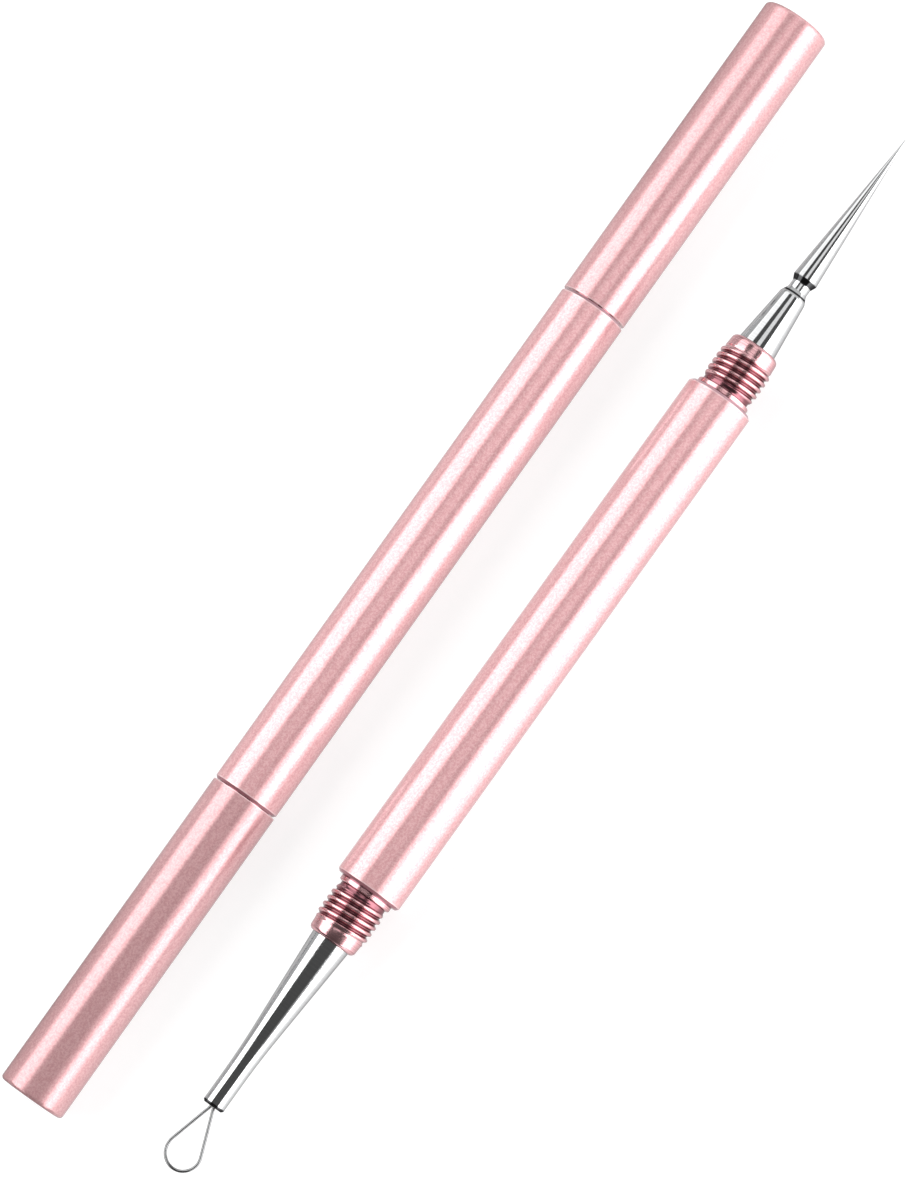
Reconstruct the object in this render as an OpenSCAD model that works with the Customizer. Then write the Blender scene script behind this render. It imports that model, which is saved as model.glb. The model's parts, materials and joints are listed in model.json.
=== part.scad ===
// Double-ended blackhead extractor: a capped tool beside an open one.
// The tools lie along X on the plane z = 0, needle end towards +X.

/* [Handle] */
// Outer diameter of the handle and the caps
handle_d = 8.0; // [7:0.1:10]
// Length of the handle between the two cap seams
handle_l = 65.6; // [50:0.2:90]
// Wall of the handle tube
handle_wall = 0.75; // [0.65:0.05:0.9]
// Length of the conical shoulder beyond each seam
shoulder_l = 0.3; // [0.2:0.05:0.5]

/* [Threaded insert] */
// Length of the plug inside the handle
plug_l = 12.0; // [8:0.5:20]
// Length of the collar that stands out of the handle
collar_l = 0.65; // [0.4:0.05:1.2]
// Length of the relief between collar and thread
relief_l = 0.85; // [0.4:0.05:1.2]
// Length of the thread
thread_l = 3.5; // [2.4:0.05:6]
// Depth of the thread and of its relief
thread_depth = 0.3; // [0.2:0.05:0.35]
// Length of the smooth nose
nose_l = 1.85; // [1:0.05:3]
// Drop of the nose below the thread's crest
nose_drop = 0.25; // [0.15:0.05:0.35]
// Radius of the nose's corner
nose_r = 0.6; // [0.2:0.05:0.7]

/* [Steel heads] */
// Diameter of both heads where they meet the nose
neck_d = 4.6; // [4:0.1:4.8]
// Diameter of the shank pressed into the insert
shank_d = 3.0; // [2:0.1:3.4]
// Length of the shank
shank_l = 7.0; // [4:0.5:9]

/* [Needle head] */
// Length of the tapered neck
neck_l = 6.8; // [4:0.05:9]
// Diameter at the end of the neck
neck_end_d = 3.2; // [3:0.05:3.6]
// Diameter of the waist behind the spear
waist_d = 2.3; // [1.8:0.05:2.5]
// Length of the fall from the neck to the waist
waist_fall_l = 0.9; // [0.7:0.05:1.5]
// Length of the waist at its narrowest
waist_l = 0.8; // [0.6:0.05:2]
// Length of the flare from the waist to the spear
flare_l = 0.7; // [0.5:0.05:1.2]
// Diameter of the spear's base
spear_d = 2.95; // [2.7:0.05:3.6]
// Length of the spear
spear_l = 19.2; // [12:0.1:26]
// Diameter of the spear's tip
tip_d = 0.12; // [0.06:0.02:0.3]

/* [Loop holder] */
// Length of the holder from the nose to its end
holder_l = 21.8; // [15:0.1:30]
// Diameter of the holder's slim end
holder_d = 2.6; // [2:0.05:3]
// Length of the straight stretch at the slim end
holder_straight_l = 3.5; // [1:0.25:5]
// Length of the curve between the straight stretch and the cone
holder_curve_l = 6.5; // [3:0.25:9]

/* [Wire loop] */
// Diameter of the wire
wire_d = 0.34; // [0.25:0.01:0.5]
// Diameter of the loop's round part, measured to the middle of the wire
loop_d = 4.05; // [3:0.05:5]
// Reach of the loop beyond the holder
loop_l = 8.0; // [6:0.1:10]
// Length of the wire's legs inside the holder
leg_l = 5.0; // [3:0.5:8]

/* [Caps] */
// Width of the seam between handle and cap
seam_w = 0.4; // [0.2:0.05:0.45]
// Thickness of the cap's end wall
cap_end = 1.4; // [0.8:0.1:2.5]
// Radius of the edge round the cap's end
cap_edge_r = 0.45; // [0.2:0.05:0.7]
// Free length between the longer head and the end wall of the needle cap
head_clear = 1.2; // [0.8:0.1:4]
// How much longer the loop cap is than the needle cap
loop_cap_more = 0.8; // [0:0.1:2]
// Radial clearance between the collar and the cap's bore
cap_clear = 0.12; // [0.08:0.01:0.2]

/* [Layout] */
// Distance between the axes of the two tools
tool_pitch = 17.6; // [12:0.2:40]
// Shift of the open tool along the closed one
open_shift = -0.7; // [-2:0.05:2]
// Turn of the open tool on the surface, in degrees
open_turn = -0.35; // [-1:0.05:1]

/* [Hidden] */

// Radial clearance of glued and pressed joints
glue_gap = 0.02;
// Radial clearance between the shoulder and the cap's lip
lip_gap = 0.1;
// Rounding of the crisp edges at the seams
edge_r = 0.08;
// Small bevel that leads plugs, shanks and threads in
lead = 0.2;
// Free depth behind a shank or a wire leg
bottom_gap = 0.3;
// Free space between the wire's two legs
leg_gap = 0.04;
// Radius of the small bend where each leg leaves the holder
bend_r = 0.5;
// Steps of the small bend and of the loop's round part
bend_steps = 4;
round_steps = 32;
// Radius of the corners beside the needle's waist
waist_corner_r = 0.35;

handle_r = handle_d / 2;
bore_r = handle_r - handle_wall;
plug_r = bore_r - glue_gap;
// The thread is turned just below the plug, so that the insert passes through the handle
thread_r = plug_r - 0.1 * thread_depth;
root_r = thread_r - thread_depth;
nose_body_r = thread_r - nose_drop;
stub_l = collar_l + relief_l + thread_l + nose_l;
shank_hole_r = shank_d / 2 + glue_gap;

// Places along one end, measured from the handle's end face
face_x = handle_l / 2 + shoulder_l;
spear_x = neck_l + waist_fall_l + waist_l + flare_l;
needle_l = spear_x + spear_l;

wire_r = wire_d / 2;
leg_off = (wire_d + leg_gap) / 2;
leg_hole_r = leg_off + wire_r + glue_gap;
loop_r = loop_d / 2;
loop_x = loop_l - wire_r - loop_r;

cap_bore_r = plug_r + cap_clear;
lip_r = handle_r - seam_w + lip_gap;
cap_mouth_x = seam_w - shoulder_l;
cap_inner_x = stub_l + max(needle_l, holder_l + loop_l) + head_clear;

// Keeps the middle of the pair over the origin
pair_shift = [loop_cap_more / 2, handle_l / 4 * sin(-open_turn), handle_r];

rose = [0.85, 0.62, 0.62];
steel = [0.78, 0.79, 0.80];

function unit(v) = v / norm(v);
function turn(v, a) = [v.x * cos(a) - v.y * sin(a), v.x * sin(a) + v.y * cos(a)];

// Points that replace corner b of a profile by an arc of radius r
function corner_arc(a, b, c, r, steps = 6) =
    let (u = unit(a - b), v = unit(c - b),
         half = acos(u * v) / 2,
         mid = b + unit(u + v) * r / sin(half),
         start = b + u * r / tan(half) - mid,
         side = u.x * v.y - u.y * v.x > 0 ? -1 : 1)
    [for (i = [0:steps]) mid + turn(start, side * (180 - 2 * half) * i / steps)];

// Corners are [x, radius] or [x, radius, rounding]; the result is the outline as [radius, x]
function outline(corners) =
    let (n = len(corners), p = [for (k = corners) [k[1], k[0]]])
    [for (i = [0:n - 1])
        let (rounding = corners[i][2])
        each rounding == undef ? [p[i]] : corner_arc(p[(i + n - 1) % n], p[i], p[(i + 1) % n], rounding)];

// A turned piece: the outline revolved about the X axis
module turned(corners) {
    rotate([0, 90, 0])
        rotate_extrude($fn = 96)
            polygon(outline(corners));
}

// Moves a piece drawn at the handle's end face to the needle end (1) or the loop end (-1)
module at_end(side) {
    mirror([side > 0 ? 0 : 1, 0, 0])
        translate([face_x, 0, 0])
            children();
}

module closed_place() {
    translate(pair_shift + [0, tool_pitch / 2, 0])
        children();
}

module open_place() {
    translate(pair_shift + [open_shift, -tool_pitch / 2, 0])
        rotate([0, 0, open_turn])
            children();
}

// Handle tube with a conical shoulder on each end
module handle() {
    land_r = handle_r - shoulder_l;
    seam_x = handle_l / 2;
    color(rose)
        turned([[-face_x, bore_r], [-face_x, land_r], [-seam_x, handle_r, edge_r],
                [seam_x, handle_r, edge_r], [face_x, land_r], [face_x, bore_r]]);
}

// Plug, collar, relief, thread at its crest diameter and rounded nose, with a blind hole
module insert() {
    relief_x = collar_l + relief_l;
    nose_x = relief_x + thread_l;
    hole_x = stub_l - shank_l - bottom_gap;
    color(rose)
        turned([[-plug_l, 0], [-plug_l, plug_r - lead], [lead - plug_l, plug_r],
                [collar_l - lead / 2, plug_r], [collar_l, plug_r - lead / 2], [collar_l, root_r],
                [relief_x - thread_depth, root_r], [relief_x, thread_r],
                [nose_x, thread_r], [nose_x + nose_drop, nose_body_r],
                [stub_l, nose_body_r, nose_r], [stub_l, shank_hole_r],
                [hole_x, shank_hole_r], [hole_x, 0]]);
}

// Turned needle head: shank, tapered neck, waist, flare and spear
module needle() {
    waist_x = neck_l + waist_fall_l;
    color(steel)
        translate([stub_l, 0, 0])
            turned([[-shank_l, 0], [-shank_l, shank_d / 2 - lead], [lead - shank_l, shank_d / 2],
                    [0, shank_d / 2], [0, neck_d / 2],
                    [neck_l, neck_end_d / 2, waist_corner_r], [waist_x, waist_d / 2, waist_corner_r],
                    [waist_x + waist_l, waist_d / 2, waist_corner_r], [spear_x, spear_d / 2],
                    [needle_l, tip_d / 2], [needle_l, 0]]);
}

// Turned loop holder: shank, cone, long curve and straight end with a bore for the wire's legs
module loop_holder() {
    curve_steps = 10;
    end_r = holder_d / 2;
    straight_x = holder_l - holder_straight_l;
    curve_x = straight_x - holder_curve_l;
    slope = (neck_d - holder_d) / 2 / (curve_x + holder_curve_l / 2);
    curve = [for (i = [0:curve_steps])
        let (back = holder_curve_l * (1 - i / curve_steps))
        [straight_x - back, end_r + slope * back * back / (2 * holder_curve_l)]];
    bore_x = holder_l - leg_l - bottom_gap;
    color(steel)
        translate([stub_l, 0, 0])
            turned(concat(
                [[-shank_l, 0], [-shank_l, shank_d / 2 - lead], [lead - shank_l, shank_d / 2],
                 [0, shank_d / 2], [0, neck_d / 2]],
                curve,
                [[holder_l - lead, end_r], [holder_l, end_r - lead], [holder_l, leg_hole_r],
                 [bore_x, leg_hole_r], [bore_x, 0]]));
}

// A round wire swept along points that lie in one plane, as one closed surface
module wire(path, sides = 12) {
    last = len(path) - 1;
    rings = [for (i = [0:last])
        let (run = unit(path[min(i + 1, last)] - path[max(i - 1, 0)]))
        for (k = [0:sides - 1])
            let (out = wire_r * cos(360 * k / sides), up = wire_r * sin(360 * k / sides))
            [path[i].x - run.y * out, path[i].y + run.x * out, up]];
    walls = [for (i = [0:last - 1], k = [0:sides - 1])
        let (a = i * sides + k, b = i * sides + (k + 1) % sides)
        each [[a, b, b + sides], [a, b + sides, a + sides]]];
    ends = [[for (k = [sides - 1:-1:0]) k], [for (k = [0:sides - 1]) last * sides + k]];
    polyhedron(rings, concat(walls, ends));
}

// One bent wire: on each side a leg in the holder, a small bend and a spreading stretch, then the round
module wire_loop() {
    // The spreading stretch is tangent to the small bend and to the round
    bend_centre = [0, leg_off + bend_r];
    to_round = [loop_x, 0] - bend_centre;
    spread = asin((bend_r + loop_r) / norm(to_round)) + atan2(to_round.y, to_round.x);
    side_path = concat([[-leg_l, leg_off]],
        [for (i = [0:bend_steps]) bend_centre + turn([0, -bend_r], spread * i / bend_steps)]);
    round_path = [for (i = [0:round_steps])
        [loop_x, 0] + turn([0, loop_r], spread - (180 + 2 * spread) * i / round_steps)];
    back_path = [for (i = [len(side_path) - 1:-1:0]) [side_path[i].x, -side_path[i].y]];
    color(steel)
        translate([stub_l + holder_l, 0, 0])
            wire(concat(side_path, round_path, back_path));
}

// Cap with a bevelled mouth, a plain bore and a closed, rounded end
module cap(more) {
    cone_l = lip_r - cap_bore_r;
    inner_x = cap_inner_x + more;
    end_x = inner_x + cap_end;
    color(rose)
        turned([[cap_mouth_x, lip_r], [cap_mouth_x, handle_r, edge_r],
                [end_x, handle_r, cap_edge_r], [end_x, 0], [inner_x, 0],
                [inner_x, cap_bore_r], [cap_mouth_x + cone_l, cap_bore_r]]);
}

closed_place() handle();  // closed_handle
closed_place() at_end(1) insert();  // closed_needle_insert
closed_place() at_end(-1) insert();  // closed_loop_insert
closed_place() at_end(1) needle();  // closed_needle
closed_place() at_end(-1) loop_holder();  // closed_loop_holder
closed_place() at_end(-1) wire_loop();  // closed_wire_loop
closed_place() at_end(1) cap(0);  // needle_cap
closed_place() at_end(-1) cap(loop_cap_more);  // loop_cap
open_place() handle();  // open_handle
open_place() at_end(1) insert();  // open_needle_insert
open_place() at_end(-1) insert();  // open_loop_insert
open_place() at_end(1) needle();  // open_needle
open_place() at_end(-1) loop_holder();  // open_loop_holder
open_place() at_end(-1) wire_loop();  // open_wire_loop
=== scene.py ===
"""Dresses a capped and an open blackhead extractor: cut threads, bent wire, metal finishes and a studio."""

import json
import math

import bmesh
import bpy
from bpy.props import FloatProperty, FloatVectorProperty, IntProperty, PointerProperty
from bpy.types import Operator, Panel, PropertyGroup
from mathutils import Euler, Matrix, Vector


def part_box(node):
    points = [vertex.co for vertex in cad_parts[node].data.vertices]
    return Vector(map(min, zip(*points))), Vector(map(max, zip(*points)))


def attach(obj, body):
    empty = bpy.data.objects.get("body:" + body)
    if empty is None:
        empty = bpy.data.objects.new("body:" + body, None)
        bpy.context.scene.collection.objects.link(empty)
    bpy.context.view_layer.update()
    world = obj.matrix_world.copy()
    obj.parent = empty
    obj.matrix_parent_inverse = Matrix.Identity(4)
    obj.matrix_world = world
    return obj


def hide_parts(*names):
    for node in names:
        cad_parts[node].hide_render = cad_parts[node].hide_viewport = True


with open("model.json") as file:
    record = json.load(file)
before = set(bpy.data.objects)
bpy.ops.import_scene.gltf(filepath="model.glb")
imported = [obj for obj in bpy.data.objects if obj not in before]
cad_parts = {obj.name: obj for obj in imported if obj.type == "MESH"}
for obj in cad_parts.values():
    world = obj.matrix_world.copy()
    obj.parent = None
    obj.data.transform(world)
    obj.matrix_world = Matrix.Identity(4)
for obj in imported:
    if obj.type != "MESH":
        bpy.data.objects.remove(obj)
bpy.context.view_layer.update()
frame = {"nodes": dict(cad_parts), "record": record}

bl_info = {
    "name": "Blackhead extractor",
    "version": (1, 0, 0),
    "blender": (4, 5, 0),
    "location": "3D View > Sidebar > Extractor",
    "description": "Threads, wire loops, metal finishes and a studio for a double-ended blackhead extractor",
    "category": "Add Mesh",
}

MM = 0.001
TOOLS = ("closed", "open")
NEEDLE_END, LOOP_END = 1, -1
ENDS = {"needle": NEEDLE_END, "loop": LOOP_END}
WHITE = (1.0, 1.0, 1.0)
ROSE_NODES = {"closed": ("closed_handle", "needle_cap", "loop_cap"), "open": ("open_handle",)}
CLIP_END = 20.0
SMOOTHER, ROUGHER = 0.03, 0.05  # how far fine lines take the roughness below and above its own value
WIPED, SMUDGED = 0.02, 0.03  # the same for wiped and smudged steel
SMUDGE_SCALE, RIM_HIGHLIGHT_SCALE, DRAWING_SCALE = 60.0, 1400.0, 9000.0  # noise cells in a metre
RING_STRETCH = (1.0, 0.012, 0.012)  # turning lines run round the axis, so places across it hardly count
DRAWING_STRETCH = (1.0, 1.0, 4.0)
WELD = 0.0001 * MM


def length(name, description, value_mm):
    """A size that a user may change, given in millimetres."""
    return FloatProperty(name=name, description=description, default=value_mm * MM,
                         subtype="DISTANCE", unit="LENGTH", precision=5)


def angle(name, description, degrees):
    """An angle that a user may change, given in degrees."""
    return FloatProperty(name=name, description=description, default=math.radians(degrees),
                         subtype="ANGLE", unit="ROTATION")


def colour(name, description, value):
    """A colour that a user may change."""
    return FloatVectorProperty(name=name, description=description, default=value,
                               subtype="COLOR", size=3, min=0.0, max=1.0)


def share(name, description, value, high=1.0):
    """A plain number that a user may change."""
    return FloatProperty(name=name, description=description, default=value, min=0.0, max=high)


class ThreadSizes(PropertyGroup):
    """Sizes of the threaded inserts and the caps' inner threads; places are measured from the handle's face."""
    plug_l: length("Plug length", "Length of the plug glued into the handle", 12.0)
    plug_r: length("Plug radius", "Radius of the plug and of the collar", 3.23)
    lead_in: length("Lead-in", "Bevel on the plug's inner end", 0.2)
    collar_l: length("Collar length", "Length of the collar that stands out of the handle", 0.65)
    bevel: length("Bevel", "Bevel on the collar's edge", 0.1)
    rise_x: length("Rise", "Place where the thread begins to rise from its groove", 0.95)
    full_x: length("First full crest", "Place where the thread reaches its full height", 1.75)
    fade_x: length("Last full crest", "Place where the thread begins to fade into the nose", 4.6)
    nose_x: length("Nose", "Place where the thread has faded and the smooth nose begins", 5.45)
    stub_l: length("Stub length", "Place of the nose's end face", 6.85)
    crest_r: length("Crest radius", "Radius of the thread's crest", 3.2)
    root_r: length("Root radius", "Radius of the thread's root and of the groove", 2.86)
    crest_x: length("Crest place", "Place of a crest on the side that faces away from the open tool", 2.2)
    pitch: length("Crest spacing", "Distance from one crest to the next", 0.8)
    starts: IntProperty(name="Starts", description="Number of threads that run side by side", default=2, min=1)
    nose_r: length("Nose radius", "Radius of the nose where it begins", 2.97)
    nose_end_r: length("Nose end radius", "Radius of the nose at its end", 2.88)
    nose_round: length("Nose rounding", "Radius of the nose's corner", 0.6)
    hole_r: length("Hole radius", "Radius of the blind hole for the steel shank", 1.52)
    hole_l: length("Hole depth", "Depth of the blind hole from the nose's face", 7.3)
    cap_bore_r: length("Cap bore radius", "Radius of the bore in the caps", 3.35)
    cap_ridge: length("Cap ridge", "Height of the thread ridge in the caps' bores", 0.1)
    cap_thread_x: length("Cap thread start", "Start of the thread in the caps", 1.0)
    cap_thread_l: length("Cap thread length", "Length of the thread in the caps", 4.8)
    around: IntProperty(name="Facets", description="Facets round the threads", default=112, min=24)


class WireSizes(PropertyGroup):
    """Sizes of the bent wire loops."""
    wire_d: length("Wire diameter", "Diameter of the wire", 0.34)
    loop_d: length("Loop diameter", "Diameter of the round, measured to the middle of the wire", 4.05)
    loop_l: length("Reach", "Reach of the loop beyond its holder", 8.0)
    leg_l: length("Leg length", "Length of each leg inside the holder", 5.0)
    leg_gap: length("Leg gap", "Free space between the legs", 0.04)
    bend_r: length("Bend radius", "Radius of the small bend at the holder", 0.5)
    lean: length("Sideways lean", "How far the hand-bent round leans towards -Y", 0.37)
    around: IntProperty(name="Facets", description="Facets round the wire", default=20, min=8)


class RoseFinish(PropertyGroup):
    """Rose-pink anodised aluminium."""
    satin: colour("Satin rose", "Colour of the blasted handle and caps", (0.86, 0.515, 0.525))
    deep: colour("Deep rose", "Colour in the dents of the blasted surface", (0.71, 0.37, 0.385))
    # bare is a paler colour painted on the rims beside each seam as a highlight.
    bare: colour("Rim rose", "Paler colour on the handled rims", (0.90, 0.60, 0.61))
    # The next two colours are painted shade in the gap of each seam, at the loop end and at the needle end.
    loop_seam_shade: colour("Loop-end seam", "Colour of the thick dye in the seam at the loop end", (0.42, 0.18, 0.21))
    needle_seam_shade: colour("Needle-end seam", "Colour of the dust in the seam at the needle end", (0.52, 0.32, 0.36))
    thread: colour("Thread rose", "Colour of the bright-turned threads", (0.80, 0.48, 0.50))
    thread_deep: colour("Deep thread rose", "Colour of the turning lines on the threads", (0.62, 0.32, 0.34))
    # The next colour and the three sizes after it paint shade into the threads' roots: full inside one radius,
    # gone beyond the next, and stopping where the smooth nose begins.
    root: colour("Thread root", "Colour of the thick dye in the threads' roots", (0.26, 0.10, 0.12))
    root_shade_from: length("Root colour, inner radius", "Radius up to which the root's colour is full", 2.94)
    root_shade_to: length("Root colour, outer radius", "Radius where the root's colour ends", 3.08)
    root_shade_end: length("Root colour, end", "Place on the tool, from its middle, where the smooth nose begins", 38.0)
    plug: colour("Bare plug", "Colour of the bare aluminium plug inside the handle", (0.91, 0.91, 0.92))
    # Painted shade in the corner where a thread's collar meets the handle; the same width also bounds the bare
    # plug's colour.
    collar_shade_w: length("Glue line", "Width of the dark line where a thread's collar meets the handle", 0.32)
    loop_cap: share("Loop cap's shade", "How much of the colour's lightness the deeper-dyed loop cap keeps", 0.82)
    needle_cap: share("Needle cap's shade", "How much of the colour's lightness the needle cap keeps", 0.94)
    metal_share: share("Metal share", "Share of the satin surface that mirrors as metal, not as dye", 0.5)
    satin_rough: share("Satin roughness", "Roughness of the handle and caps", 0.27)
    thread_rough: share("Thread roughness", "Roughness of the threads", 0.2)
    coat: share("Sealing", "Weight of the clear sealing on the anodised surface", 0.2)
    satin_coat_rough: share("Satin sealing roughness", "Roughness of the sealing on the handle and caps", 0.14)
    thread_coat_rough: share("Thread sealing roughness", "Roughness of the sealing on the threads", 0.06)
    edge: share("Edge tint", "Brightness of the metal's mirror at grazing angles", 0.5)
    ring_w: length("Turning line spacing", "Spacing of the turning lines on the threads", 0.09)
    ring_depth: length("Turning line depth", "Depth of the turning lines on the threads", 0.004)
    grain: length("Grain", "Size of one dent of the blasting", 0.26)
    grain_depth: length("Grain depth", "Depth of the blasting", 0.004)
    seam_x: length("Seam place", "Distance from the tool's middle to the middle of each seam", 33.0)
    seam_w: length("Seam width", "Width of each seam", 0.4)
    # rim_w is the width of that painted highlight band.
    rim_w: length("Rim width", "Width of the paler band on each rim", 0.16)


class SteelFinish(PropertyGroup):
    """Polished stainless steel and drawn spring wire."""
    steel: colour("Steel", "Colour of the polished heads", (0.62, 0.624, 0.63))
    steel_dark: colour("Turning lines", "Colour of the fine turning lines on the heads", (0.565, 0.57, 0.575))
    # corner is painted shade: near black in the two corners of the needle's waist and in a ring at the loop
    # holder's end.
    corner: colour("Dark corners", "Colour of the corners that the polishing doesn't reach", (0.05, 0.05, 0.052))
    waist_start: length("Waist start", "Dark corner where the waist starts, from the tool's middle", 47.12)
    waist_start_w: length("Waist start width", "Width of that corner", 0.24)
    waist_end: length("Waist end", "Dark corner where the waist ends, from the tool's middle", 48.82)
    waist_end_w: length("Waist end width", "Width of that corner", 0.66)
    holder_end_w: length("Holder end width", "Width of the dark ring on the loop holder's end", 0.36)
    wire: colour("Wire", "Colour of the drawn wire", (0.30, 0.303, 0.306))
    wire_dark: colour("Drawing lines", "Colour of the fine lines along the wire", (0.22, 0.222, 0.225))
    ring_w: length("Turning line spacing", "Spacing of the turning lines on the heads", 0.07)
    ring_depth: length("Turning line depth", "Depth of the turning lines on the heads", 0.0015)
    line_depth: length("Drawing line depth", "Depth of the fine lines along the wire", 0.002)
    steel_edge: share("Steel edge tint", "Brightness of the heads' mirror at grazing angles", 0.35)
    wire_edge: share("Wire edge tint", "Brightness of the wire's mirror at grazing angles", 0.2)
    steel_rough: share("Steel roughness", "Roughness of the polished heads", 0.07)
    wire_rough: share("Wire roughness", "Roughness of the wire", 0.15)


class StudioStage(PropertyGroup):
    """Floor, lamps, surroundings and camera; lamp angles run from straight up towards +Y."""
    floor: colour("Floor", "Colour of the floor", (0.3, 0.3, 0.3))
    floor_rough: share("Floor roughness", "Roughness of the floor", 0.5)
    floor_half: length("Floor reach", "Half the side of the floor", 1500.0)
    floor_gap: length("Floor gap", "How far the floor lies below the tools' lowest points", 0.02)
    floor_lift: share("Floor lift", "Light that the white floor adds in the picture", 0.78)
    glow: share("Glow", "Light of the floor in reflections close to the tools", 0.88, 10.0)
    glow_near: share("Near glow", "The same light farther out, on the open tool's side", 2.0, 10.0)
    glow_mid_near: share("Near glow, middle", "The same light farther out beside the handles", 2.3, 10.0)
    glow_far: share("Far glow", "The same light on the closed tool's side", 0.5, 10.0)
    glow_ends: share("Far glow at the ends", "Share of the far glow that is left beside the tools' ends", 0.15)
    glow_past: share("Glow past the ends", "Share of the glow that is left beyond the loop ends", 0.1)
    glow_near_y: length("Near glow place", "Distance on the open tool's side where its glow is reached", 45.0)
    glow_mid_near_y: length("Near glow place, middle", "The same distance beside the handles", 29.0)
    glow_from_y: length("Near glow start", "Distance on the open tool's side where its glow starts", 17.0)
    glow_to_y: length("Far glow start", "Distance on the closed tool's side where its glow starts", 2.0)
    glow_far_y: length("Far glow place", "Distance on the closed tool's side where its glow is reached", 14.0)
    glow_mid_x: length("Middle stretch", "Half the stretch along the tools that has the full far glow", 38.0)
    glow_end_x: length("End stretch", "Distance from the middle where the far glow has fallen", 56.0)
    glow_out_x: length("Outer stretch", "Distance where the glow starts to fall beyond the loop ends", 74.0)
    glow_dim_x: length("Dim stretch", "Distance where the glow has fallen beyond the loop ends", 86.0)
    lamp_far_off: length("Lamp distance", "Distance from the tools to the softboxes", 600.0)
    near_from: angle("Near softbox, lower edge", "Lower edge of the softbox on the open tool's side", -89.0)
    far_box: share("Far softbox", "Brightness of the softbox on the closed tool's side", 3.0, 10.0)
    near_box: share("Near softbox", "Brightness of the softbox on the open tool's side", 3.6, 10.0)
    panel_far_off: length("Panel distance", "Distance from the tools to the panel overhead", 900.0)
    panel_from: angle("Panel, one edge", "Edge of the panel overhead on the open tool's side", -25.0)
    panel_to: angle("Panel, other edge", "Edge of the panel overhead on the closed tool's side", -2.0)
    panel_wide_to: angle("Panel, wide edge", "The same edge over the handles", 8.0)
    panel_x: length("Panel start", "Start of the panel overhead along the tools", 20.0)
    panel_narrow_x: length("Panel narrows", "Place along the tools where the panel overhead narrows", 185.0)
    panel: share("Ceiling panel", "Brightness of the panel overhead", 1.05, 10.0)
    walls: share("Walls", "Brightness of the walls along the tools", 0.6, 10.0)
    walls_from: share("Walls, start", "Share of a direction that points sideways where the walls begin", 0.74)
    walls_to: share("Walls, full", "Share of a direction that points sideways where they are in full", 0.93)
    end_wall: share("End wall", "Brightness of the wall beyond the needle ends", 0.75, 10.0)
    end_wall_from: share("End wall, start", "Share of a direction along the tools where the end wall begins", 0.5)
    end_wall_to: share("End wall, full", "Share of a direction along the tools where it is in full", 0.8)
    dark: share("Dark room", "Brightness of the rest of the room", 0.1, 10.0)
    camera_place: FloatVectorProperty(name="Camera place", description="Place of the camera", size=3,
                                      default=(-0.055445, -0.170, 0.597389), subtype="TRANSLATION", unit="LENGTH")
    camera_turn: FloatVectorProperty(name="Camera turn", description="Turn of the camera about X, Y and Z", size=3,
                                     default=[math.radians(a) for a in (13.5884, 10.3456, -54.0866)],
                                     subtype="EULER", unit="ROTATION")
    lens: FloatProperty(name="Lens", description="Focal length of the camera in millimetres", default=173.34)


# Stretches of the softboxes along the tools: start and end in mm, the upper and lower edge of the far softbox and
# the upper edge of the near one in degrees from straight up, and the share of the far one's brightness
LAMP_STRETCHES = ((-700.0, -100.0, 25.0, 65.0, -67.0, 1.0), (-100.0, -20.0, 20.0, 66.0, -57.0, 1.0),
                  (-20.0, 140.0, 21.0, 72.0, -43.0, 1.0), (140.0, 165.0, 24.0, 69.0, -49.0, 1.0),
                  (165.0, 700.0, 24.0, 66.0, -50.0, 0.5))


def settings(name):
    """One of the property groups, by its name on the scene."""
    return getattr(bpy.context.scene, name)


def rgba(value):
    """A colour with full alpha, as sockets take it."""
    return (*value, 1.0)


def between(x, x0, y0, x1, y1):
    """Straight line through two points, level beyond them."""
    t = min(max((x - x0) / (x1 - x0), 0.0), 1.0)
    return y0 + (y1 - y0) * t


class Tool:
    """Where a tool lies, taken from its CAD nodes and from its grip in the record."""

    def __init__(self, name):
        self.name = name
        self.body = f"{name}_tool"
        low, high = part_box(f"{name}_handle")
        self.middle = (Vector(low) + Vector(high)) / 2
        grip = next(mount for mount in frame["record"]["mounts"] if mount["name"] == f"{name}_grip")
        self.along = Vector(grip["axis"])
        self.up = Vector((0.0, 0.0, 1.0))
        self.across = self.up.cross(self.along)

    def reach(self, node, end):
        """Distance from the tool's middle to a node's far side, towards one end of the tool."""
        corners = frame["nodes"][node].data.vertices
        return max(end * (corner.co - self.middle).dot(self.along) for corner in corners)

    def point(self, x, y, z):
        """A point in the tool's own directions, measured from its middle."""
        return self.middle + x * self.along + y * self.across + z * self.up


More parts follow.
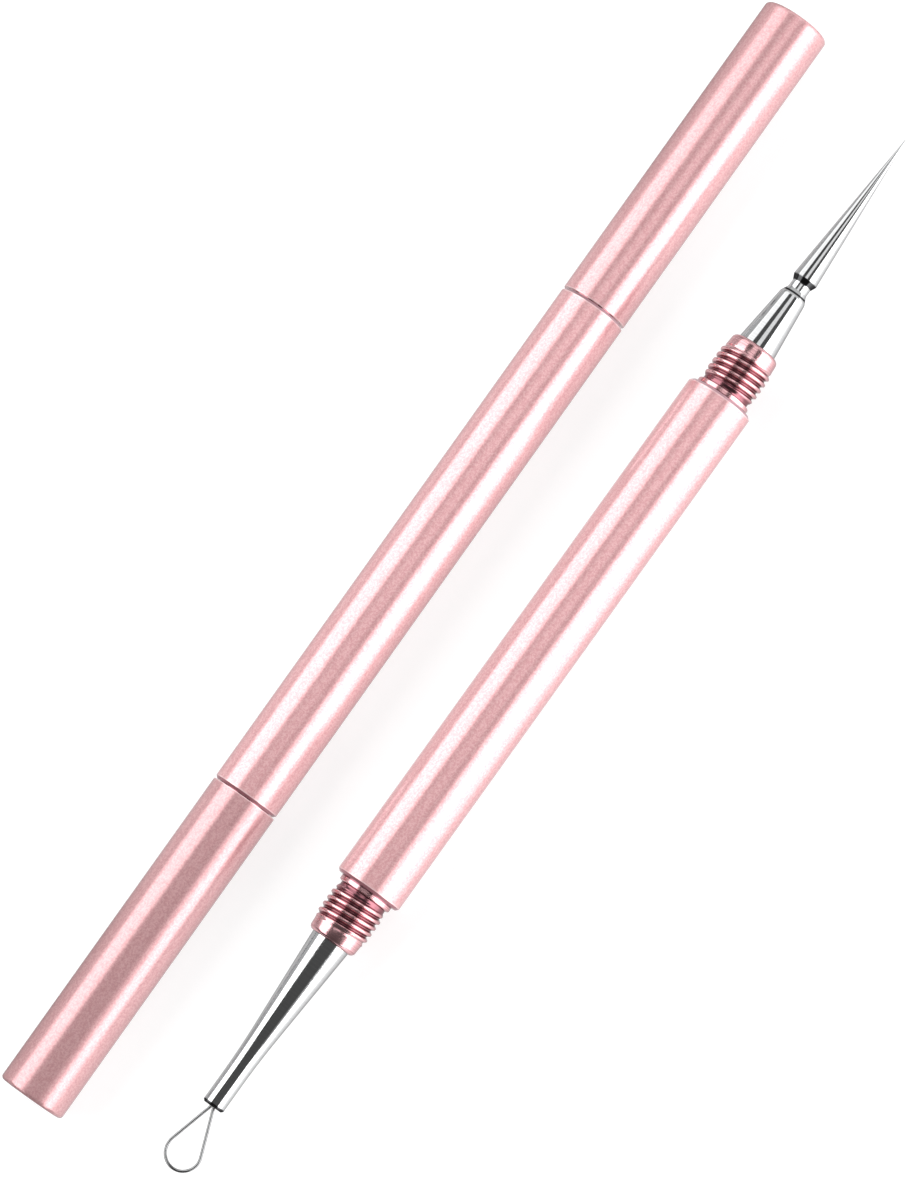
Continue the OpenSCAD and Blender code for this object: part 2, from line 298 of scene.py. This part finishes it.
class Lathe:
    """Builds a surface turned about a tool's axis, with x measured from the handle's end face outwards."""

    def __init__(self, tool, end, around):
        self.made = bmesh.new()
        self.tool, self.end, self.around = tool, end, around
        self.face = tool.reach(f"{tool.name}_handle", end)
        self.last = None

    def ring(self, place):
        """Adds a ring; place(turn) gives x and radius, with turn running from 0 to 1."""
        row = []
        for i in range(self.around + 1):
            turn = i / self.around
            x, radius = place(turn)
            y, z = radius * math.cos(2 * math.pi * turn), radius * math.sin(2 * math.pi * turn)
            row.append(self.made.verts.new(self.tool.point(self.end * (self.face + x), y, z)))
        if self.last:
            for i in range(self.around):
                self.made.faces.new((self.last[i], self.last[i + 1], row[i + 1], row[i]))
        self.last = row

    def profile(self, points):
        """Adds round rings, one for each x and radius."""
        for x, radius in points:
            self.ring(lambda turn, x=x, radius=radius: (x, radius))

    def thread(self, start, stop, crest_x, pitch, starts, heights, radius_at):
        """A right-handed thread between two planes, in rows that follow its crests.

        heights runs over one pitch with its crest in the middle, and radius_at(x, height) gives the radius."""
        steps = len(heights)
        first = math.floor((start - crest_x) / pitch * steps) - starts * steps - 1
        last = math.ceil((stop - crest_x) / pitch * steps) + starts * steps + 1
        for k in range(first, last + 1):
            height = heights[(k + steps // 2) % steps]

            def place(turn):
                x = crest_x + pitch * (k / steps + self.end * starts * turn)
                x = min(max(x, start), stop)
                return x, radius_at(x, height)
            self.ring(place)


def ridge(steps, root_share, crest_share):
    """Heights over one pitch of a thread with rounded edges, from 0 at the root to 1 at the crest."""
    heights = []
    for i in range(steps):
        rise = 1 - abs(2 * i / steps - 1)
        flank = between(rise, root_share, 0.0, 1 - crest_share, 1.0)
        rounded = flank * flank * (3 - 2 * flank)
        heights.append((flank + rounded) / 2)
    return heights


def corner(a, b, c, radius, steps=8):
    """Points that round the corner b of an (x, radius) profile."""
    a, b, c = Vector(a), Vector(b), Vector(c)
    u, v = (a - b).normalized(), (c - b).normalized()
    half = u.angle(v) / 2
    middle = b + (u + v).normalized() * radius / math.sin(half)
    start, end = b + u * radius / math.tan(half), b + v * radius / math.tan(half)
    return [tuple(middle + radius * (start - middle).slerp(end - middle, i / steps)) for i in range(steps + 1)]


def new_piece(name, made, material, body, crisp=math.radians(50)):
    """Turns a bmesh into a piece that rides on body, smooth but for edges sharper than crisp."""
    bmesh.ops.remove_doubles(made, verts=made.verts, dist=WELD)
    bmesh.ops.dissolve_degenerate(made, edges=made.edges, dist=WELD)
    bmesh.ops.recalc_face_normals(made, faces=made.faces)
    mesh = bpy.data.meshes.new(name)
    made.to_mesh(mesh)
    made.free()
    mesh.shade_smooth()
    mesh.set_sharp_from_angle(angle=crisp)
    mesh.materials.append(material)
    piece = bpy.data.objects.new(name, mesh)
    bpy.context.scene.collection.objects.link(piece)
    even = piece.modifiers.new("Even shading", "WEIGHTED_NORMAL")
    even.keep_sharp = True
    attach(piece, body)
    return piece


class Graph:
    """Short hand for building a node tree."""

    def __init__(self, tree):
        self.tree = tree

    def feed(self, socket, value):
        """Links another node's output to a socket, or sets the socket's plain value."""
        if isinstance(value, bpy.types.NodeSocket):
            self.tree.links.new(value, socket)
        else:
            socket.default_value = value

    def add(self, kind, inputs=None, **choices):
        """A new node with its choices made and its inputs fed."""
        node = self.tree.nodes.new(kind)
        for name, value in choices.items():
            setattr(node, name, value)
        for name, value in (inputs or {}).items():
            self.feed(node.inputs[name], value)
        return node

    def math(self, operation, a, b=0.0, c=0.0):
        return self.add("ShaderNodeMath", {0: a, 1: b, 2: c}, operation=operation).outputs[0]

    def remap(self, value, from_min, from_max, to_min=0.0, to_max=1.0):
        """Maps one range to another, level beyond it and smooth at its ends."""
        ends = {"From Min": from_min, "From Max": from_max, "To Min": to_min, "To Max": to_max}
        node = self.add("ShaderNodeMapRange", {"Value": value, **ends}, interpolation_type="SMOOTHSTEP")
        return node.outputs["Result"]

    def mix(self, factor, a, b):
        """Mixes two colours; they are inputs 6 and 7 of the node, and output 2 is their mix."""
        node = self.add("ShaderNodeMix", data_type="RGBA")
        for socket, value in zip((node.inputs[0], node.inputs[6], node.inputs[7]), (factor, a, b)):
            self.feed(socket, value)
        return node.outputs[2]

    def noise(self, vector, scale, detail=2.0, roughness=0.5):
        return self.add("ShaderNodeTexNoise", {"Vector": vector, "Scale": scale, "Detail": detail,
                                               "Roughness": roughness}).outputs["Fac"]

    def vector(self, operation, a, b):
        """The outputs of a vector sum: Vector, and Value where the sum gives a number."""
        return self.add("ShaderNodeVectorMath", {0: a, 1: b}, operation=operation).outputs

    def scale(self, vector, amount):
        return self.add("ShaderNodeVectorMath", {0: vector, "Scale": amount}, operation="SCALE").outputs["Vector"]

    def place(self, tree, **inputs):
        """Places a shader group with its own values."""
        node = self.add("ShaderNodeGroup", node_tree=tree)
        for name, value in inputs.items():
            self.feed(node.inputs[name.replace("_", " ")], value)
        return node.outputs

    def vary_roughness(self, shader, mask, from_min, from_max, to_min, to_max):
        self.feed(shader.inputs["Roughness"], self.remap(mask, from_min, from_max, to_min, to_max))

    def bump(self, height, depth):
        return self.add("ShaderNodeBump", {"Height": height, "Distance": depth}).outputs["Normal"]


def group(name, inputs, outputs, build):
    """A shader group, made once, with a Place socket, named number or vector sockets and named outputs."""
    if name in bpy.data.node_groups:
        return bpy.data.node_groups[name]
    tree = bpy.data.node_groups.new(name, "ShaderNodeTree")
    tree.interface.new_socket(name="Place", in_out="INPUT", socket_type="NodeSocketVector")
    for socket, value in inputs.items():
        kind = "NodeSocketVector" if isinstance(value, tuple) else "NodeSocketFloat"
        made = tree.interface.new_socket(name=socket, in_out="INPUT", socket_type=kind)
        made.default_value = value
    for socket in outputs:
        tree.interface.new_socket(name=socket, in_out="OUTPUT", socket_type="NodeSocketFloat")
    graph = Graph(tree)
    source = graph.add("NodeGroupInput").outputs
    sink = graph.add("NodeGroupOutput")
    for socket, value in build(graph, source).items():
        graph.feed(sink.inputs[socket], value)
    return tree


def blasted_grain():
    """Fine dents of bead blasting under the anodising."""
    def build(g, source):
        per_grain = g.math("DIVIDE", 1.0, source["Size"])
        coarse = g.noise(source["Place"], per_grain, 2.0, 0.6)
        fine = g.noise(source["Place"], g.math("MULTIPLY", per_grain, 2.7), 1.0, 0.5)
        both = g.math("MULTIPLY_ADD", fine, 0.4, g.math("MULTIPLY", coarse, 0.6))
        return {"Dents": g.remap(both, 0.38, 0.62), "Height": both}
    return group("Blasted grain", {"Size": 0.26 * MM}, ("Dents", "Height"), build)


def turning_rings():
    """Fine rings left by turning about the tool's axis."""
    def build(g, source):
        along = g.vector("MULTIPLY", source["Place"], RING_STRETCH)["Vector"]
        rings = g.noise(along, g.math("DIVIDE", 1.0, source["Width"]), 3.0, 0.65)
        return {"Rings": g.remap(rings, 0.35, 0.65), "Height": rings}
    return group("Turning rings", {"Width": 0.1 * MM}, ("Rings", "Height"), build)


def handling_marks():
    """Soft smudges from use."""
    def build(g, source):
        return {"Smudge": g.remap(g.noise(source["Place"], SMUDGE_SCALE, 1.0, 0.5), 0.35, 0.7)}
    return group("Handling marks", {}, ("Smudge",), build)


def tool_place():
    """Distance along a tool from its middle, and distance from its axis."""
    def build(g, source):
        out = g.vector("SUBTRACT", source["Place"], source["Middle"])["Vector"]
        reach = g.vector("DOT_PRODUCT", out, source["Along"])["Value"]
        foot = g.scale(source["Along"], reach)
        return {"Reach": reach, "Radius": g.vector("DISTANCE", out, foot)["Value"]}
    return group("Tool place", {"Middle": (0.0, 0.0, 0.0), "Along": (1.0, 0.0, 0.0)}, ("Reach", "Radius"), build)


def seam_marks():
    """A paler band painted on both sides of each seam as a highlight, and painted shade in the seam's gap itself.
    """
    def build(g, source):
        off = g.math("ABSOLUTE", g.math("SUBTRACT", g.math("ABSOLUTE", source["Reach"]), source["Seam"]))
        past = g.math("SUBTRACT", off, source["Half gap"])
        # Noise breaks up the painted rim highlight.
        broken = g.math("MULTIPLY", g.noise(source["Place"], RIM_HIGHLIGHT_SCALE, 2.0, 0.5), 0.6)
        rim_highlight = g.remap(g.math("SUBTRACT", g.math("DIVIDE", past, source["Rim"]), broken), 0.7, 0.1)
        # Inside the seam's gap the second output is 1: the mask for the painted shade there.
        outside = g.math("GREATER_THAN", past, -0.02 * MM)
        return {"Rim highlight": g.math("MULTIPLY", rim_highlight, outside), "Gap shade": g.math("SUBTRACT", 1.0, outside)}
    return group("Seam marks", {"Reach": 0.0, "Seam": 33.0 * MM, "Half gap": 0.2 * MM, "Rim": 0.16 * MM},
                 ("Rim highlight", "Gap shade"), build)


def dark_corner():
    """A soft-edged ring round a tool, at a distance along it, used as a mask for painted shade."""
    def build(g, source):
        off = g.math("ABSOLUTE", g.math("SUBTRACT", source["Reach"], source["Middle"]))
        return {"Mask": g.remap(g.math("DIVIDE", off, source["Half width"]), 1.25, 0.75)}
    return group("Dark corner", {"Reach": 0.0, "Middle": 0.0, "Half width": 0.2 * MM}, ("Mask",), build)


def metal(name, roughness, edge_tint, **uniform):
    """A metal material, its graph, its shader and object coordinates; edge_tint dims the mirror at its edges."""
    material = bpy.data.materials.new(name)
    material.use_nodes = True
    g = Graph(material.node_tree)
    shader = material.node_tree.nodes["Principled BSDF"]
    uniform = {"Metallic": 1.0, "Roughness": roughness, "Specular_Tint": rgba((edge_tint,) * 3), **uniform}
    for socket, value in uniform.items():
        shader.inputs[socket.replace("_", " ")].default_value = value
    return material, g, shader, g.add("ShaderNodeTexCoord").outputs["Object"]


def own_place(g, place, tool):
    """The outputs of the shared group that turns coordinates into the tool's own."""
    return g.place(tool_place(), Place=place, Middle=tool.middle, Along=tool.along)


def satin_rose(tool):
    """Blasted, rose-anodised aluminium of a tool's handle and caps."""
    look = settings("rose_finish")
    material, g, shader, place = metal(f"satin_rose_{tool.name}", look.satin_rough, look.edge,
                                       Metallic=look.metal_share, Coat_Weight=look.coat,
                                       Coat_Roughness=look.satin_coat_rough)
    grain = g.place(blasted_grain(), Place=place, Size=look.grain)
    reach = own_place(g, place, tool)["Reach"]
    seams = g.place(seam_marks(), Place=place, Reach=reach, Seam=look.seam_x,
                    Half_gap=look.seam_w / 2, Rim=look.rim_w)
    # Painted shade in the seam gaps: the loop end's colour on one side of the middle, the needle end's on the
    # other.
    seam_shade = g.mix(g.math("GREATER_THAN", reach, 0.0), rgba(look.loop_seam_shade), rgba(look.needle_seam_shade))
    base = g.mix(grain["Dents"], rgba(look.deep), rgba(look.satin))
    loop_cap = g.math("LESS_THAN", reach, -look.seam_x)
    needle_cap = g.math("GREATER_THAN", reach, look.seam_x)
    shade = g.math("MULTIPLY_ADD", loop_cap, look.loop_cap - 1.0, 1.0)
    shade = g.math("MULTIPLY_ADD", needle_cap, look.needle_cap - 1.0, shade)
    base = g.scale(base, shade)
    # Paints the paler rim colour beside each seam as a highlight.
    base = g.mix(seams["Rim highlight"], base, rgba(look.bare))
    # Paints the shade colour into the seam gaps.
    g.feed(shader.inputs["Base Color"], g.mix(seams["Gap shade"], base, seam_shade))
    g.feed(shader.inputs["Normal"], g.bump(grain["Height"], look.grain_depth))
    return material


def bright_rose(tool):
    """Bright-turned, rose-anodised aluminium of a tool's threads, made once for each tool."""
    name = f"bright_rose_{tool.name}"
    if name in bpy.data.materials:
        return bpy.data.materials[name]
    look = settings("rose_finish")
    material, g, shader, place = metal(name, look.thread_rough, look.edge,
                                       Coat_Weight=look.coat, Coat_Roughness=look.thread_coat_rough)
    rings = g.place(turning_rings(), Place=place, Width=look.ring_w)
    own = own_place(g, place, tool)
    out = g.math("ABSOLUTE", own["Reach"])
    face = tool.reach(f"{tool.name}_handle", NEEDLE_END)
    # Painted shade in the threads' roots, by distance from the axis, short of the smooth nose.
    root = g.math("MULTIPLY", g.remap(own["Radius"], look.root_shade_to, look.root_shade_from),
                  g.math("LESS_THAN", out, look.root_shade_end))
    # A painted shade ring in the corner where the collar meets the handle's face.
    collar_shade = g.place(dark_corner(), Place=place, Reach=out, Middle=face, Half_width=look.collar_shade_w / 2)
    root = g.math("MAXIMUM", root, collar_shade["Mask"])
    base = g.mix(rings["Rings"], rgba(look.thread_deep), rgba(look.thread))
    base = g.mix(g.math("LESS_THAN", out, face - look.collar_shade_w / 2), base, rgba(look.plug))
    # Paints the shade colour into the threads' roots and into the collar's corner.
    g.feed(shader.inputs["Base Color"], g.mix(root, base, rgba(look.root)))
    g.vary_roughness(shader, rings["Rings"], 0.0, 1.0, look.thread_rough + ROUGHER, look.thread_rough - SMOOTHER)
    g.feed(shader.inputs["Normal"], g.bump(rings["Height"], look.ring_depth))
    return material


def polished_steel(tool):
    """Mirror-polished stainless steel of a tool's needle and loop holder, with painted shade in the corners of the
    needle's waist and a painted dark ring at the loop holder's end.
    """
    look = settings("steel_finish")
    material, g, shader, place = metal(f"polished_steel_{tool.name}", look.steel_rough, look.steel_edge)
    rings = g.place(turning_rings(), Place=place, Width=look.ring_w)
    marks = g.place(handling_marks(), Place=place)
    base = g.mix(rings["Rings"], rgba(look.steel_dark), rgba(look.steel))
    reach = own_place(g, place, tool)["Reach"]
    # Paints shade into the two corners of the needle's waist and a ring at the loop holder's end.
    holder_end = look.holder_end_w / 2 - tool.reach(f"{tool.name}_loop_holder", LOOP_END)
    for middle, width in ((look.waist_start, look.waist_start_w), (look.waist_end, look.waist_end_w),
                          (holder_end, look.holder_end_w)):
        ring = g.place(dark_corner(), Place=place, Reach=reach, Middle=middle, Half_width=width / 2)
        base = g.mix(ring["Mask"], base, rgba(look.corner))
    g.feed(shader.inputs["Base Color"], base)
    g.vary_roughness(shader, marks["Smudge"], 0.0, 1.0, look.steel_rough - WIPED, look.steel_rough + SMUDGED)
    g.feed(shader.inputs["Normal"], g.bump(rings["Height"], look.ring_depth))
    return material


def drawn_wire():
    """Drawn spring wire with fine lines along it."""
    look = settings("steel_finish")
    material, g, shader, place = metal("drawn_wire", look.wire_rough, look.wire_edge)
    lines = g.noise(g.vector("MULTIPLY", place, DRAWING_STRETCH)["Vector"], DRAWING_SCALE, 2.0, 0.6)
    g.feed(shader.inputs["Base Color"], g.mix(lines, rgba(look.wire_dark), rgba(look.wire)))
    g.vary_roughness(shader, lines, 0.3, 0.7, look.wire_rough - SMOOTHER, look.wire_rough + ROUGHER)
    g.feed(shader.inputs["Normal"], g.bump(lines, look.line_depth))
    return material


def dress(node, material):
    """Gives a CAD node its finish."""
    for slot in frame["nodes"][node].material_slots:
        slot.material = material


class EXTRACTOR_OT_threaded_inserts(Operator):
    """Turn the four threaded inserts with a real two-start thread"""
    bl_idname = "extractor.threaded_inserts"
    bl_label = "Threaded inserts"

    def execute(self, context):
        for tool in map(Tool, TOOLS):
            finish = bright_rose(tool)
            for side, end in ENDS.items():
                self.insert(context.scene.thread_sizes, tool, end, f"{tool.name}_{side}_insert", finish)
        return {"FINISHED"}

    def insert(self, s, tool, end, node, finish):
        lathe = Lathe(tool, end, s.around)
        lathe.profile([(-s.plug_l, 0.0), (-s.plug_l, s.plug_r - s.lead_in), (s.lead_in - s.plug_l, s.plug_r),
                       (s.collar_l - s.bevel, s.plug_r), (s.collar_l, s.plug_r - s.bevel),
                       (s.collar_l + s.bevel, s.root_r), (s.rise_x, s.root_r)])

        def radius_at(x, height):
            crest = min(between(x, s.rise_x, s.root_r, s.full_x, s.crest_r),
                        between(x, s.fade_x, s.crest_r, s.nose_x, s.nose_r))
            root = between(x, s.fade_x, s.root_r, s.nose_x, s.nose_r)
            return root + (crest - root) * height

        lathe.thread(s.rise_x, s.nose_x, s.crest_x, s.pitch, s.starts, ridge(20, root_share=0.1, crest_share=0.25),
                     radius_at)
        lathe.profile([(s.nose_x, s.nose_r)])
        lathe.profile(corner((s.nose_x, s.nose_r), (s.stub_l, s.nose_end_r), (s.stub_l, s.hole_r), s.nose_round))
        lathe.profile([(s.stub_l, s.hole_r), (s.stub_l - s.hole_l, s.hole_r), (s.stub_l - s.hole_l, 0.0)])
        piece = new_piece(f"{node}_cut", lathe.made, finish, tool.body)
        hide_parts(node)


class EXTRACTOR_OT_cap_threads(Operator):
    """Cut the threads inside the mouths of the two caps"""
    bl_idname = "extractor.cap_threads"
    bl_label = "Cap threads"

    def execute(self, context):
        s = context.scene.thread_sizes
        tool = Tool("closed")
        start, stop = s.cap_thread_x, s.cap_thread_x + s.cap_thread_l
        hidden, crest = s.cap_bore_r + s.cap_ridge / 5, s.cap_bore_r - s.cap_ridge
        backing = hidden + s.cap_ridge

        def radius_at(x, height):
            full = between(min(x - start, stop - x), 0.0, hidden, s.pitch, crest)
            return hidden + (full - hidden) * height

        for side, end in ENDS.items():
            lathe = Lathe(tool, end, s.around)
            lathe.profile([(start, hidden)])
            lathe.thread(start, stop, s.crest_x + s.pitch / 2, s.pitch, s.starts,
                         ridge(12, root_share=0.3, crest_share=0.3), radius_at)
            lathe.profile([(stop, hidden), (stop, backing), (start, backing), (start, hidden)])
            new_piece(f"{side}_cap_thread", lathe.made, bright_rose(tool), f"{side}_cap")
        return {"FINISHED"}


class EXTRACTOR_OT_wire_loops(Operator):
    """Bend the two wire loops from round wire"""
    bl_idname = "extractor.wire_loops"
    bl_label = "Wire loops"

    def execute(self, context):
        s = context.scene.wire_sizes
        finish = drawn_wire()
        for tool in map(Tool, TOOLS):
            piece = new_piece(f"{tool.name}_wire", self.sweep(s, tool), finish, tool.body)
            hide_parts(f"{tool.name}_wire_loop")
        return {"FINISHED"}

    def route(self, s):
        """The wire's middle line in its own plane: x away from the holder's end, y across."""
        wire_r, loop_r = s.wire_d / 2, s.loop_d / 2
        leg_y = (s.wire_d + s.leg_gap) / 2
        round_x = s.loop_l - wire_r - loop_r
        bend = Vector((0.0, leg_y + s.bend_r))
        to_round = Vector((round_x, 0.0)) - bend
        spread = math.asin((s.bend_r + loop_r) / to_round.length) + math.atan2(to_round.y, to_round.x)
        bend_steps, straight_steps, round_steps = 6, 8, 64
        side = [Vector((-s.leg_l, leg_y)), Vector((-s.leg_l / 2, leg_y))]
        for i in range(bend_steps + 1):
            turned = spread * i / bend_steps
            side.append(bend + s.bend_r * Vector((math.sin(turned), -math.cos(turned))))
        first = Vector((round_x, 0.0)) + loop_r * Vector((-math.sin(spread), math.cos(spread)))
        side += [side[-1].lerp(first, i / straight_steps) for i in range(1, straight_steps)]
        sweep = math.pi + 2 * spread
        turns = [math.pi / 2 + spread - sweep * i / round_steps for i in range(round_steps + 1)]
        round_part = [Vector((round_x, 0.0)) + loop_r * Vector((math.cos(t), math.sin(t))) for t in turns]
        back = [Vector((p.x, -p.y)) for p in reversed(side)]
        return [Vector((p.x, p.y - s.lean * between(p.x, 0.0, 0.0, round_x, 1.0)))
                for p in side + round_part + back]

    def sweep(self, s, tool):
        """The wire's surface along its route."""
        made = bmesh.new()
        holder_end = tool.reach(f"{tool.name}_loop_holder", LOOP_END)
        path = self.route(s)
        rings = []
        for i, p in enumerate(path):
            run = (path[min(i + 1, len(path) - 1)] - path[max(i - 1, 0)]).normalized()
            ring = []
            for k in range(s.around):
                turned = 2 * math.pi * k / s.around
                out, up = s.wire_d / 2 * math.cos(turned), s.wire_d / 2 * math.sin(turned)
                ring.append(made.verts.new(tool.point(-holder_end - p.x + run.y * out, p.y + run.x * out, up)))
            rings.append(ring)
        for a, b in zip(rings, rings[1:]):
            for k in range(s.around):
                made.faces.new((a[k], a[(k + 1) % s.around], b[(k + 1) % s.around], b[k]))
        made.faces.new(rings[0])
        made.faces.new(rings[-1])
        return made


class EXTRACTOR_OT_rose_parts(Operator):
    """Anodise the handles and caps in satin rose"""
    bl_idname = "extractor.rose_parts"
    bl_label = "Handles and caps"

    def execute(self, context):
        for tool in map(Tool, TOOLS):
            finish = satin_rose(tool)
            for node in ROSE_NODES[tool.name]:
                dress(node, finish)
        return {"FINISHED"}


class EXTRACTOR_OT_steel_parts(Operator):
    """Polish the needles and the loop holders"""
    bl_idname = "extractor.steel_parts"
    bl_label = "Steel heads"

    def execute(self, context):
        for tool in map(Tool, TOOLS):
            finish = polished_steel(tool)
            for head in ("needle", "loop_holder"):
                dress(f"{tool.name}_{head}", finish)
        return {"FINISHED"}


class EXTRACTOR_OT_stage(Operator):
    """Set up the floor, the softboxes, the room and the camera"""
    bl_idname = "extractor.stage"
    bl_label = "Studio stage"

    def execute(self, context):
        s = context.scene.studio_stage
        self.floor(s)
        for i, (x0, x1, far_from, far_to, near_to, far_share) in enumerate(LAMP_STRETCHES):
            self.softbox(f"far_softbox_{i}", s.lamp_far_off, math.radians(far_from), math.radians(far_to),
                         x0 * MM, x1 * MM, s.far_box * far_share)
            self.softbox(f"near_softbox_{i}", s.lamp_far_off, s.near_from, math.radians(near_to),
                         x0 * MM, x1 * MM, s.near_box)
        self.softbox("handle_panel", s.panel_far_off, s.panel_from, s.panel_wide_to,
                     s.panel_x, s.panel_narrow_x, s.panel)
        self.softbox("needle_panel", s.panel_far_off, s.panel_from, s.panel_to,
                     s.panel_narrow_x, s.floor_half, s.panel)
        self.room(s)
        self.camera(context, s)
        for node in ROSE_NODES["closed"] + ROSE_NODES["open"]:
            frame["nodes"][node].visible_glossy = False
        context.scene.view_settings.view_transform = "Standard"
        return {"FINISHED"}

    def floor(self, s):
        """A white floor that keeps the shadow and shows in reflections by the light that the glow gives it."""
        made = bmesh.new()
        bmesh.ops.create_grid(made, x_segments=1, y_segments=1, size=s.floor_half)
        mesh = bpy.data.meshes.new("studio_floor")
        made.to_mesh(mesh)
        made.free()
        floor = bpy.data.objects.new("studio_floor", mesh)
        floor.location.z = -s.floor_gap
        bpy.context.scene.collection.objects.link(floor)
        material = bpy.data.materials.new("white_acrylic")
        material.use_nodes = True
        g = Graph(material.node_tree)
        shader = material.node_tree.nodes["Principled BSDF"]
        shader.inputs["Base Color"].default_value = rgba(s.floor)
        shader.inputs["Roughness"].default_value = s.floor_rough
        rays = g.add("ShaderNodeLightPath").outputs
        mirrored = g.math("MAXIMUM", rays["Is Glossy Ray"], rays["Is Transmission Ray"])
        x, y, _ = g.add("ShaderNodeSeparateXYZ", {0: g.add("ShaderNodeTexCoord").outputs["Object"]}).outputs
        along, out = g.math("ABSOLUTE", x), g.math("MULTIPLY", y, -1.0)
        far_share = s.glow_far / s.glow
        far_share = g.remap(along, s.glow_mid_x, s.glow_end_x, far_share, far_share * s.glow_ends)
        near = g.remap(along, s.glow_mid_x, s.glow_end_x, s.glow_mid_near, s.glow_near)
        near_y = g.remap(along, s.glow_mid_x, s.glow_end_x, s.glow_mid_near_y, s.glow_near_y)
        glow = g.math("MULTIPLY", g.remap(out, s.glow_from_y, near_y, s.glow, near),
                      g.remap(y, s.glow_to_y, s.glow_far_y, 1.0, far_share))
        glow = g.math("MULTIPLY", glow, g.remap(x, -s.glow_dim_x, -s.glow_out_x, s.glow_past, 1.0))
        lift = g.math("MULTIPLY_ADD", rays["Is Camera Ray"], s.floor_lift, g.math("MULTIPLY", mirrored, glow))
        shader.inputs["Emission Color"].default_value = rgba(WHITE)
        g.feed(shader.inputs["Emission Strength"], lift)
        mesh.materials.append(material)

    def softbox(self, name, far_off, low, high, x0, x1, brightness):
        """A soft lamp along the tools, between two angles from straight up towards +Y."""
        middle, half = (low + high) / 2, (high - low) / 2
        width, long = 2 * far_off * math.tan(half), x1 - x0
        lamp = bpy.data.lights.new(name, "AREA")
        lamp.shape = "RECTANGLE"
        lamp.size, lamp.size_y = long, width
        lamp.energy = brightness * math.pi * width * long
        light = bpy.data.objects.new(name, lamp)
        out = Vector((0.0, math.sin(middle), math.cos(middle)))
        light.location = Vector(((x0 + x1) / 2, 0.0, 0.0)) + out * far_off
        light.rotation_euler = (-middle, 0.0, 0.0)
        light.visible_camera = False
        bpy.context.scene.collection.objects.link(light)

    def room(self, s):
        """Pale walls along the tools and beyond the needle ends, and a dark room elsewhere."""
        world = bpy.data.worlds.new("studio_room")
        bpy.context.scene.world = world
        world.use_nodes = True
        g = Graph(world.node_tree)
        direction = g.add("ShaderNodeSeparateXYZ", {0: g.add("ShaderNodeTexCoord").outputs["Generated"]}).outputs
        sides = g.remap(g.math("ABSOLUTE", direction[1]), s.walls_from, s.walls_to, s.dark, s.walls)
        end = g.remap(direction[0], s.end_wall_from, s.end_wall_to, s.dark, s.end_wall)
        background = world.node_tree.nodes["Background"]
        background.inputs["Color"].default_value = rgba(WHITE)
        g.feed(background.inputs["Strength"], g.math("MAXIMUM", sides, end))

    def camera(self, context, s):
        lens = bpy.data.cameras.new("studio_camera")
        lens.lens = s.lens
        lens.clip_end = CLIP_END
        camera = bpy.data.objects.new("studio_camera", lens)
        camera.location = s.camera_place
        camera.rotation_euler = Euler(s.camera_turn)
        context.scene.collection.objects.link(camera)
        context.scene.camera = camera


class EXTRACTOR_PT_sidebar(Panel):
    """Lists the steps that dress the tools, and their sizes and colours"""
    bl_label = "Blackhead extractor"
    bl_idname = "EXTRACTOR_PT_sidebar"
    bl_space_type = "VIEW_3D"
    bl_region_type = "UI"
    bl_category = "Extractor"

    def draw(self, context):
        for step in STEPS:
            self.layout.operator(step.bl_idname)
        for name, kind in GROUPS.items():
            box = self.layout.box()
            for size in kind.__annotations__:
                box.prop(getattr(context.scene, name), size)


STEPS = (EXTRACTOR_OT_threaded_inserts, EXTRACTOR_OT_cap_threads, EXTRACTOR_OT_wire_loops,
         EXTRACTOR_OT_rose_parts, EXTRACTOR_OT_steel_parts, EXTRACTOR_OT_stage)
GROUPS = {"thread_sizes": ThreadSizes, "wire_sizes": WireSizes, "rose_finish": RoseFinish,
          "steel_finish": SteelFinish, "studio_stage": StudioStage}


def register():
    for kind in (*GROUPS.values(), *STEPS, EXTRACTOR_PT_sidebar):
        bpy.utils.register_class(kind)
    for name, kind in GROUPS.items():
        setattr(bpy.types.Scene, name, PointerProperty(type=kind))


def unregister():
    for name in GROUPS:
        delattr(bpy.types.Scene, name)
    for kind in (EXTRACTOR_PT_sidebar, *reversed(STEPS), *reversed(GROUPS.values())):
        bpy.utils.unregister_class(kind)


def main():
    register()
    for step in STEPS:
        family, name = step.bl_idname.split(".")
        getattr(getattr(bpy.ops, family), name)()


if __name__ == "__main__":
    main()
